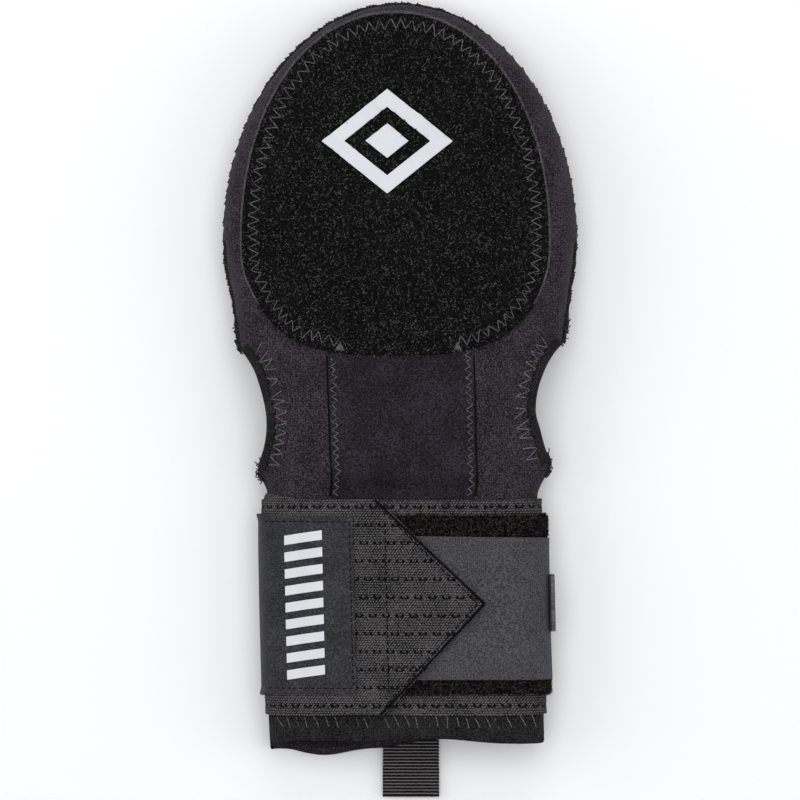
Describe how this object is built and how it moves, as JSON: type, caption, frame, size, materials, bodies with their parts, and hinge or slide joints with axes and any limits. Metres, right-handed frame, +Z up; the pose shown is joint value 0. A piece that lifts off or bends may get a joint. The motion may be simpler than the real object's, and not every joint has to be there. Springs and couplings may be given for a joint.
{
  "type": "sliding mitt wrist and hand guard",
  "caption": "Padded hand and wrist guard shaped like a mitten, with thumb openings in both sides, stiff plates inside, and an elastic strap that wraps and grips the wrist.",
  "frame": {"origin": "centre of the mitt's outline in plan, on the surface it lies on", "axes": "+Z up out of the mitt's front, +Y from the cuff to the fingertips, +X to the right as seen from the front"},
  "size_m": [0.1248, 0.2813, 0.0358],
  "materials": {
    "neoprene": "closed-cell neoprene with nylon jersey on both faces",
    "binding": "folded stretch binding tape",
    "pile": "brushed loop pile",
    "loop_pile": "loop half of touch tape",
    "foam": "closed-cell foam sheet",
    "plate": "moulded polypropylene plate",
    "lining": "plain polyester pocket cloth",
    "channel_cloth": "smooth laminated stretch cloth",
    "print": "satin white transfer film",
    "label": "moulded soft PVC label",
    "elastic": "woven elastic webbing with herringbone face",
    "hook_tape": "hook half of touch tape, woven nylon back",
    "ribbon": "ribbed polyester grosgrain",
    "thread": "bulked polyester overlock thread"
  },
  "bodies": {
    "cuff": {"cuff_front": "neoprene", "cuff_rear": "neoprene", "mouth_binding_front": "binding", "mouth_binding_rear": "binding", "strap_base": "elastic", "loop_tape": "loop_pile", "wrist_sleeve_front": "neoprene", "wrist_sleeve_rear": "neoprene", "channel_flex": "channel_cloth", "strap_fold": "elastic", "label_fold": "label", "pull_tab_root": "ribbon", "pull_tab_flex": "ribbon"},
    "hand": {"front_panel": "neoprene", "rear_panel": "neoprene", "thumb_binding_left_front": "binding", "thumb_binding_left_rear": "binding", "thumb_binding_right_front": "binding", "thumb_binding_right_rear": "binding", "side_seam": "thread", "front_pile_patch": "pile", "front_foam": "foam", "front_plate": "plate", "front_pocket": "lining", "rear_pile_patch": "pile", "rear_foam": "foam", "rear_plate": "plate", "rear_pocket": "lining", "channel_panel": "channel_cloth", "emblem": "print", "pocket_bartacks": "thread"},
    "strap": {"strap_tail": "elastic", "label": "label", "label_mark": "print", "hook_tape_root": "hook_tape", "hook_tape_flex": "hook_tape"},
    "hook_tab": {"hook_tape_end": "hook_tape", "strap_ribbon": "ribbon"},
    "pull_loop": {"pull_tab": "ribbon"}
  },
  "joints": [
    {"name": "wrist_flex", "type": "hinge", "parent": "cuff", "child": "hand", "pos_m": [0, -0.03, 0.0119], "axis": [1, 0, 0], "range_deg": [0, 30], "stiffness_Nm_per_rad": 0.4, "deforming": ["wrist_sleeve_front", "wrist_sleeve_rear", "channel_flex"]},
    {"name": "strap_open", "type": "hinge", "parent": "cuff", "child": "strap", "pos_m": [-0.0496, -0.0734, 0.0119], "axis": [0, -1, 0], "range_deg": [0, 165], "deforming": ["strap_fold", "label_fold"]},
    {"name": "tab_peel", "type": "hinge", "parent": "strap", "child": "hook_tab", "pos_m": [0.0332, -0.0734, 0.0264], "axis": [0, -1, 0], "range_deg": [0, 120], "deforming": ["hook_tape_flex"]},
    {"name": "pull_loop_lift", "type": "hinge", "parent": "cuff", "child": "pull_loop", "pos_m": [0.0039, -0.1261, 0.0006], "axis": [-1, 0, 0], "range_deg": [0, 85], "deforming": ["pull_tab_flex"]}
  ]
}
